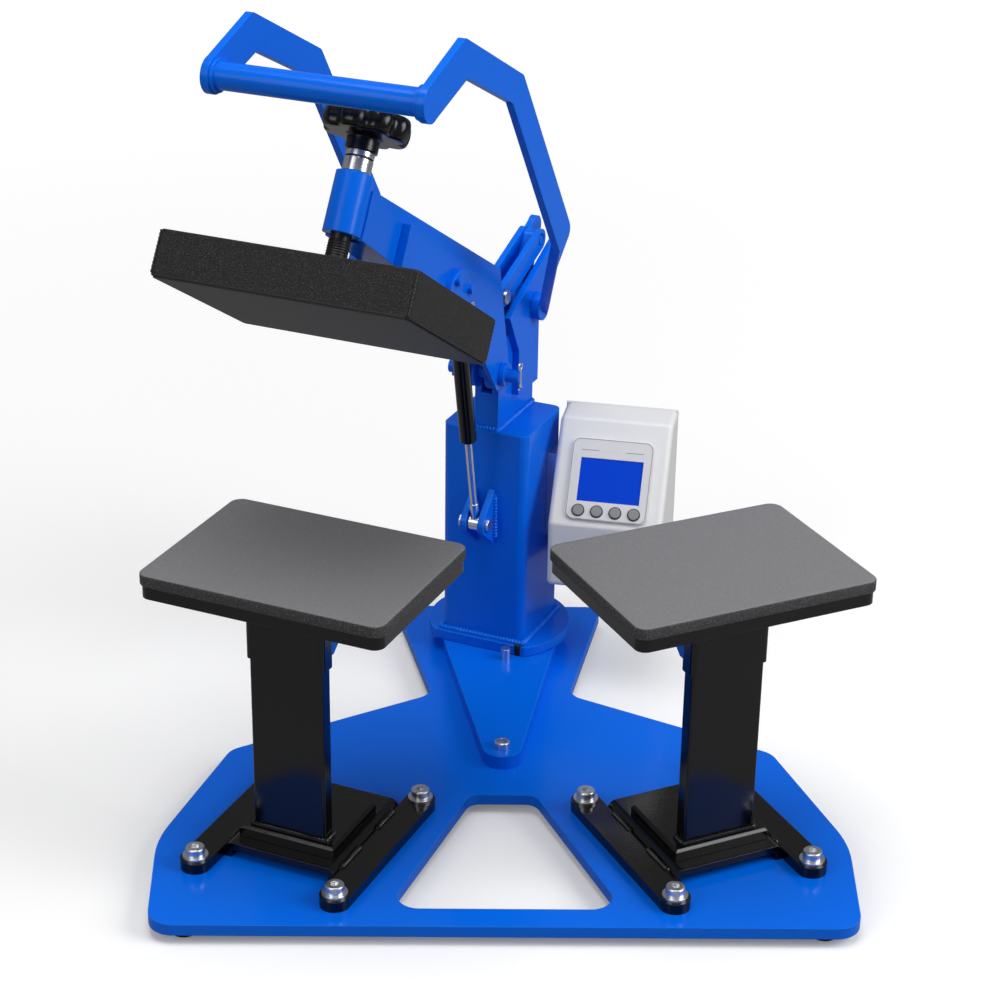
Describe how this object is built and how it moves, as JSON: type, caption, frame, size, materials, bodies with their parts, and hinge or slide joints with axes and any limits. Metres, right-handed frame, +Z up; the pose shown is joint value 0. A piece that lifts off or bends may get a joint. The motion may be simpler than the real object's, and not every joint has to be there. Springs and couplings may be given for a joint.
{
  "type": "label heat press",
  "caption": "Heat press for labels: a swinging lever-closed heated head over left and right padded tables on one base, with a gas spring, pressure knob and controller.",
  "frame": {"origin": "on the floor, under the middle of the whole press in its rest pose", "axes": "+Z up, +X to the operator's right, the front faces -Y"},
  "size_m": [0.5472, 0.5614, 0.6471],
  "materials": {
    "blue_coat": "bright blue powder coat with a fine orange peel",
    "black_gloss_coat": "gloss black enamel",
    "black_grained_coat": "sandy black textured coat",
    "dark_platen_coat": "smooth dark non-stick coat",
    "soft_foam": "charcoal silicone foam with fine specks",
    "black_rubber": "matte black rubber",
    "bright_plate": "polished plating",
    "zinc_plate": "bright zinc",
    "dark_steel": "blackened steel",
    "bare_aluminium": "satin turned aluminium",
    "bearing_brass": "plain bearing brass",
    "black_knob_plastic": "glossy moulded black",
    "pale_case_plastic": "fine grained light grey moulding",
    "panel_plastic": "printed grey panel",
    "button_plastic": "grey moulded button",
    "display_glass": "lit blue display behind a clear window",
    "board_laminate": "green coated circuit board",
    "white_blanket": "ceramic fibre blanket"
  },
  "bodies": {
    "base": {"base_plate": "blue_coat", "rubber_feet": "black_rubber", "index_plate": "blue_coat", "index_screw": "zinc_plate", "swivel_spindle": "zinc_plate", "stop_post": "zinc_plate", "foot_bars": "black_gloss_coat", "foot_plates": "black_gloss_coat", "post_blocks": "black_gloss_coat", "posts": "black_gloss_coat", "foot_screws": "zinc_plate", "left_table_sleeve": "black_gloss_coat", "left_table_plate": "black_gloss_coat", "left_table_pad": "soft_foam", "left_table_gusset": "blue_coat", "right_table_sleeve": "black_gloss_coat", "right_table_plate": "black_gloss_coat", "right_table_pad": "soft_foam", "right_table_gusset": "blue_coat"},
    "column": {"column_foot_flange": "blue_coat", "stop_bumper": "black_rubber", "column_tube": "blue_coat", "bearing_plate": "blue_coat", "spindle_bushes": "bearing_brass", "riser": "blue_coat", "riser_cheeks": "blue_coat", "hinge_pin": "blue_coat", "spring_ears": "blue_coat", "spring_lower_bolt": "zinc_plate", "controller_bracket": "zinc_plate", "controller_case": "pale_case_plastic", "controller_back": "pale_case_plastic", "circuit_board": "board_laminate", "power_inlet": "black_knob_plastic", "display_bezel": "panel_plastic", "display_window": "display_glass"},
    "arm": {"arm_plates": "blue_coat", "arm_web": "blue_coat", "screw_sleeve": "blue_coat", "link_lug": "blue_coat", "arm_pins": "zinc_plate", "arm_bracket": "blue_coat"},
    "platen": {"heater_cover": "black_grained_coat", "heater_block": "dark_platen_coat", "heating_element": "dark_steel", "insulation_board": "white_blanket", "swivel_boss": "bare_aluminium", "guide_bars": "blue_coat"},
    "screw": {"pressure_screw": "bright_plate", "pressure_knob": "black_knob_plastic"},
    "yoke": {"yoke_sides": "blue_coat", "grip_tube": "blue_coat", "yoke_shaft": "blue_coat"},
    "link": {"link_bars": "blue_coat"},
    "spring_rod": {"spring_rod": "bright_plate"},
    "spring_cylinder": {"spring_cylinder": "black_gloss_coat"},
    "button_1": {"button_1": "button_plastic"},
    "button_2": {"button_2": "button_plastic"},
    "button_3": {"button_3": "button_plastic"},
    "button_4": {"button_4": "button_plastic"}
  },
  "joints": [
    {"name": "swing", "type": "hinge", "parent": "base", "child": "column", "pos_m": [0, 0.17808, 0.0175], "axis": [0, 0, 1], "range_deg": [0, 48.8]},
    {"name": "head_close", "type": "hinge", "parent": "column", "child": "arm", "pos_m": [-0.01599, 0.14283, 0.2948], "axis": [0.9107, -0.4131, 0], "range_deg": [0, 31.4], "stiffness_Nm_per_rad": 10, "springref_deg": -126.05},
    {"name": "yoke_turn", "type": "hinge", "parent": "column", "child": "yoke", "pos_m": [0.01157, 0.20358, 0.3355], "axis": [0.9107, -0.4131, 0], "range_deg": [0, 39.35]},
    {"name": "link_turn", "type": "hinge", "parent": "arm", "child": "link", "pos_m": [-0.00992, 0.15622, 0.3595], "axis": [0.9107, -0.4131, 0], "range_deg": [-25.53, 0]},
    {"name": "spring_lean", "type": "hinge", "parent": "column", "child": "spring_rod", "pos_m": [-0.02313, 0.12708, 0.1585], "axis": [0.9107, -0.4131, 0], "range_deg": [0, 12.97]},
    {"name": "spring_stroke", "type": "slide", "parent": "spring_rod", "child": "spring_cylinder", "axis": [-0.0831, -0.1833, 0.9795], "range_m": [-0.03103, 0]},
    {"name": "platen_lift", "type": "slide", "parent": "arm", "child": "platen", "axis": [0.2152, 0.4745, 0.8536], "range_m": [0, 0.004]},
    {"name": "knob_turn", "type": "hinge", "parent": "platen", "child": "screw", "pos_m": [-0.13179, -0.11246, 0.47142], "axis": [0.2152, 0.4745, 0.8536], "range_deg": [0, 721]},
    {"name": "button_1_press", "type": "slide", "parent": "column", "child": "button_1", "axis": [0.16, 0.7864, -0.5967], "range_m": [0, 0.001], "stiffness_N_per_m": 800, "springref_m": -0.0003},
    {"name": "button_2_press", "type": "slide", "parent": "column", "child": "button_2", "axis": [0.16, 0.7864, -0.5967], "range_m": [0, 0.001], "stiffness_N_per_m": 800, "springref_m": -0.0003},
    {"name": "button_3_press", "type": "slide", "parent": "column", "child": "button_3", "axis": [0.16, 0.7864, -0.5967], "range_m": [0, 0.001], "stiffness_N_per_m": 800, "springref_m": -0.0003},
    {"name": "button_4_press", "type": "slide", "parent": "column", "child": "button_4", "axis": [0.16, 0.7864, -0.5967], "range_m": [0, 0.001], "stiffness_N_per_m": 800, "springref_m": -0.0003}
  ],
  "couplings": [
    {"joint": "yoke_turn", "follows": "head_close", "ratio": 1.25},
    {"joint": "link_turn", "follows": "head_close", "ratio": -0.81},
    {"joint": "spring_lean", "follows": "head_close", "ratio": 0.41},
    {"joint": "spring_stroke", "follows": "head_close", "m_per_rad": -0.05625},
    {"joint": "knob_turn", "follows": "platen_lift", "rad_per_m": 3141.6}
  ]
}
